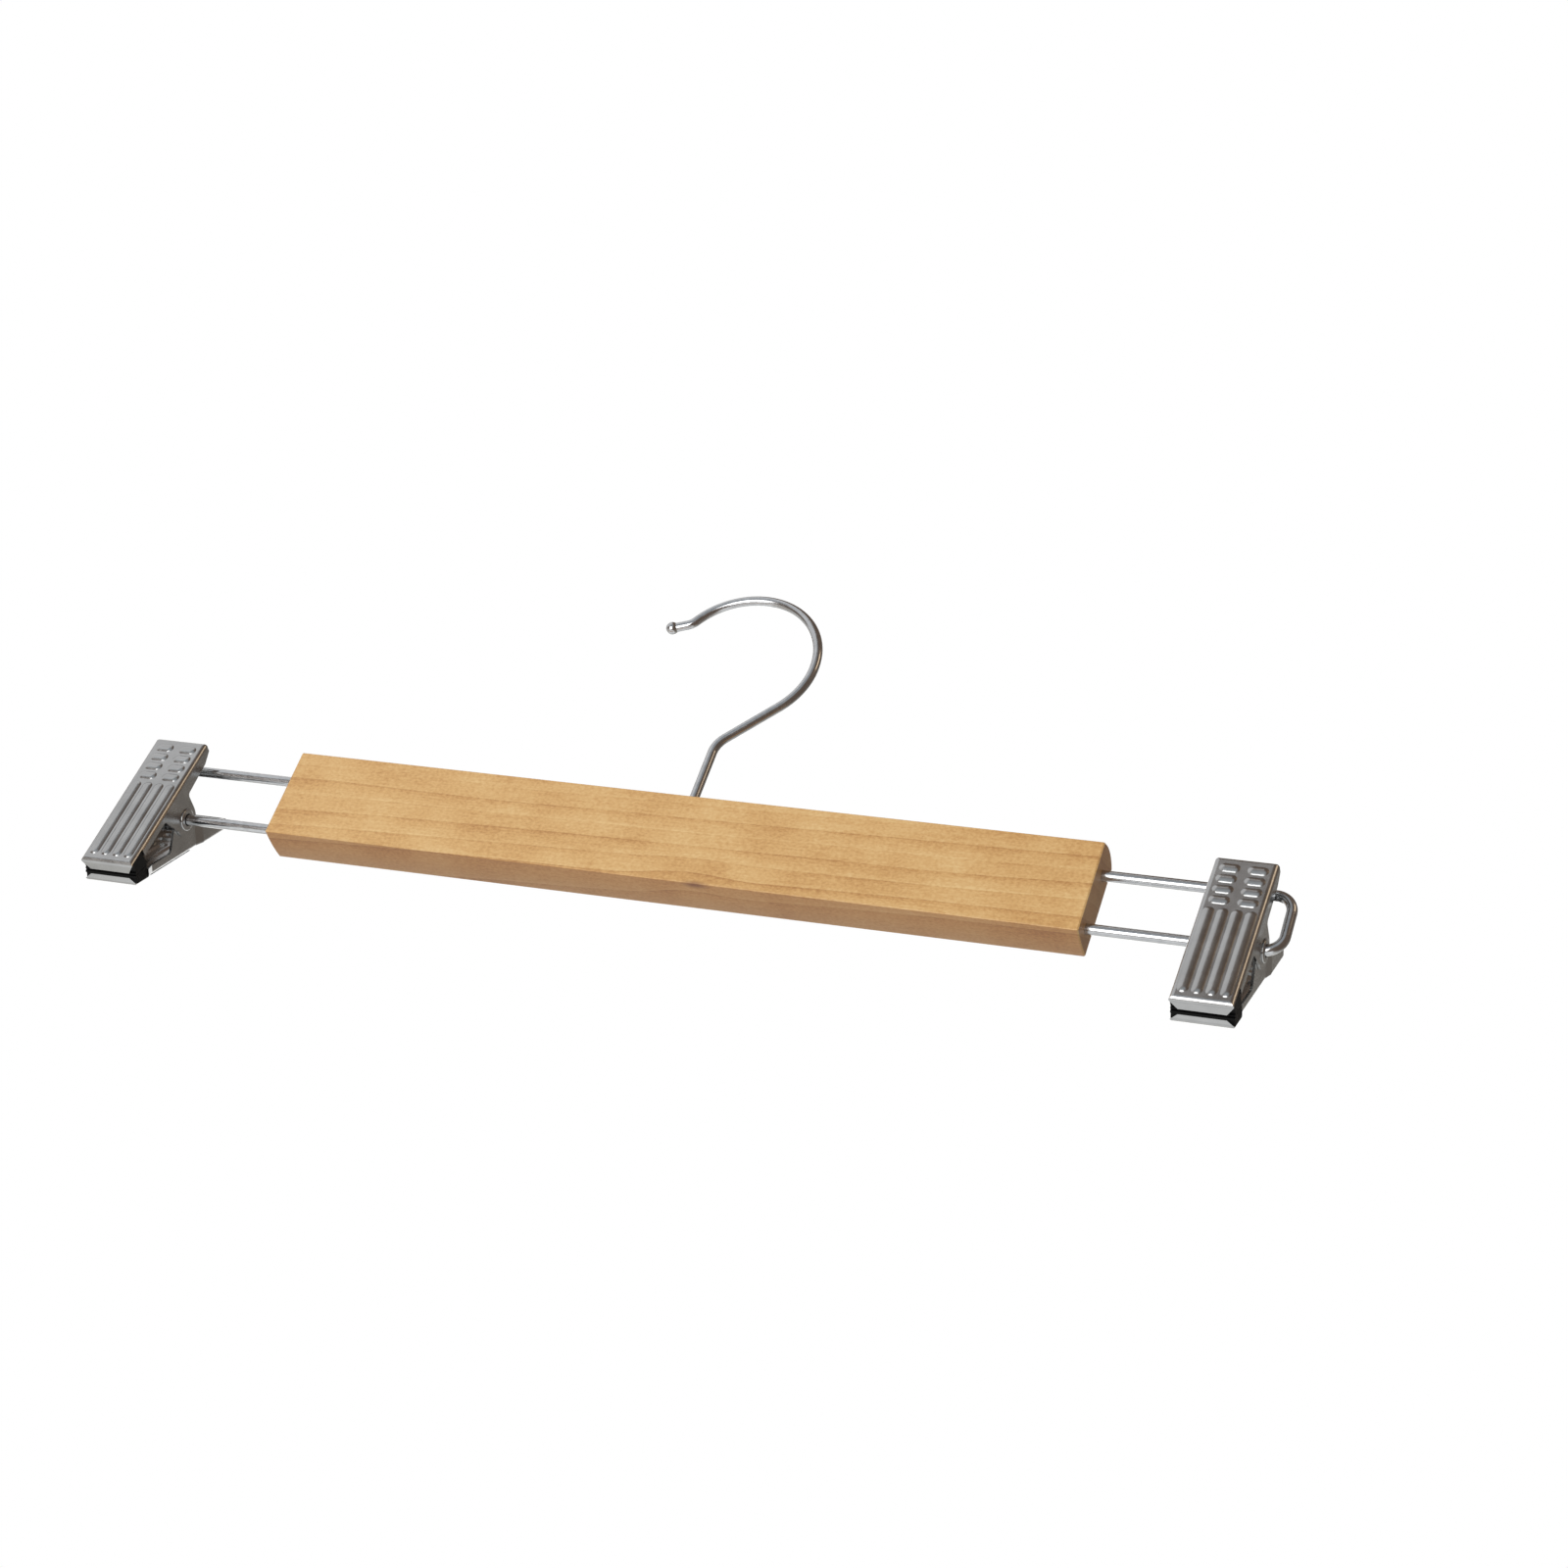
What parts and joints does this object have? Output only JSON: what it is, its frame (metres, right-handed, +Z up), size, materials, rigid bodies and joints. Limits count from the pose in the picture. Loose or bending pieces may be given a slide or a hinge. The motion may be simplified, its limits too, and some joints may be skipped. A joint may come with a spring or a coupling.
{
  "type": "skirt hanger",
  "caption": "Wooden bar skirt hanger with a swivelling wire hook and sprung steel clips that slide on wire end loops and grip a waistband.",
  "frame": {"origin": "where a closet rod bears on the inner crest of the hook, straight above the hook's stem", "axes": "+X along the bar to the right as seen from the front, -Y out of the front face, +Z up along the hook's stem"},
  "size_m": [0.346, 0.0338, 0.1291],
  "materials": {
    "maple": "clear satin lacquer",
    "plated_wire": "bright nickel plate",
    "plated_sheet": "nickel-plated stamped sheet",
    "rubber": "matt black"
  },
  "bodies": {
    "bar": {"bar": "maple", "left_wire_loop": "plated_wire", "right_wire_loop": "plated_wire"},
    "hook": {"hook": "plated_wire"},
    "left_rivet": {"left_pivot_rivet": "plated_sheet"},
    "left_front_jaw": {"left_front_jaw": "plated_sheet", "left_front_pad": "rubber", "left_torsion_spring": "plated_wire"},
    "left_back_jaw": {"left_back_jaw": "plated_sheet", "left_back_pad": "rubber"},
    "right_rivet": {"right_pivot_rivet": "plated_sheet"},
    "right_front_jaw": {"right_front_jaw": "plated_sheet", "right_front_pad": "rubber", "right_torsion_spring": "plated_wire"},
    "right_back_jaw": {"right_back_jaw": "plated_sheet", "right_back_pad": "rubber"}
  },
  "joints": [
    {"name": "hook_swivel", "type": "hinge", "parent": "bar", "child": "hook", "pos_m": [0, 0, -0.07204], "axis": [0, 0, 1], "continuous": true},
    {"name": "left_clip_slide", "type": "slide", "parent": "bar", "child": "left_rivet", "axis": [1, 0, 0], "range_m": [0, 0.0294]},
    {"name": "left_clip_tilt", "type": "hinge", "parent": "left_rivet", "child": "left_front_jaw", "pos_m": [-0.15875, 0, -0.09749], "axis": [-1, 0, 0], "range_deg": [-45, 6.5]},
    {"name": "left_jaw_open", "type": "hinge", "parent": "left_front_jaw", "child": "left_back_jaw", "pos_m": [-0.15875, 0, -0.09749], "axis": [1, 0, 0], "range_deg": [0, 40], "stiffness_Nm_per_rad": 0.37, "springref_deg": -34.38, "deforming": ["left_torsion_spring"]},
    {"name": "right_clip_slide", "type": "slide", "parent": "bar", "child": "right_rivet", "axis": [-1, 0, 0], "range_m": [0, 0.0294]},
    {"name": "right_clip_tilt", "type": "hinge", "parent": "right_rivet", "child": "right_front_jaw", "pos_m": [0.15875, 0, -0.09749], "axis": [-1, 0, 0], "range_deg": [-45, 6.5]},
    {"name": "right_jaw_open", "type": "hinge", "parent": "right_front_jaw", "child": "right_back_jaw", "pos_m": [0.15875, 0, -0.09749], "axis": [1, 0, 0], "range_deg": [0, 40], "stiffness_Nm_per_rad": 0.37, "springref_deg": -34.38, "deforming": ["right_torsion_spring"]}
  ]
}
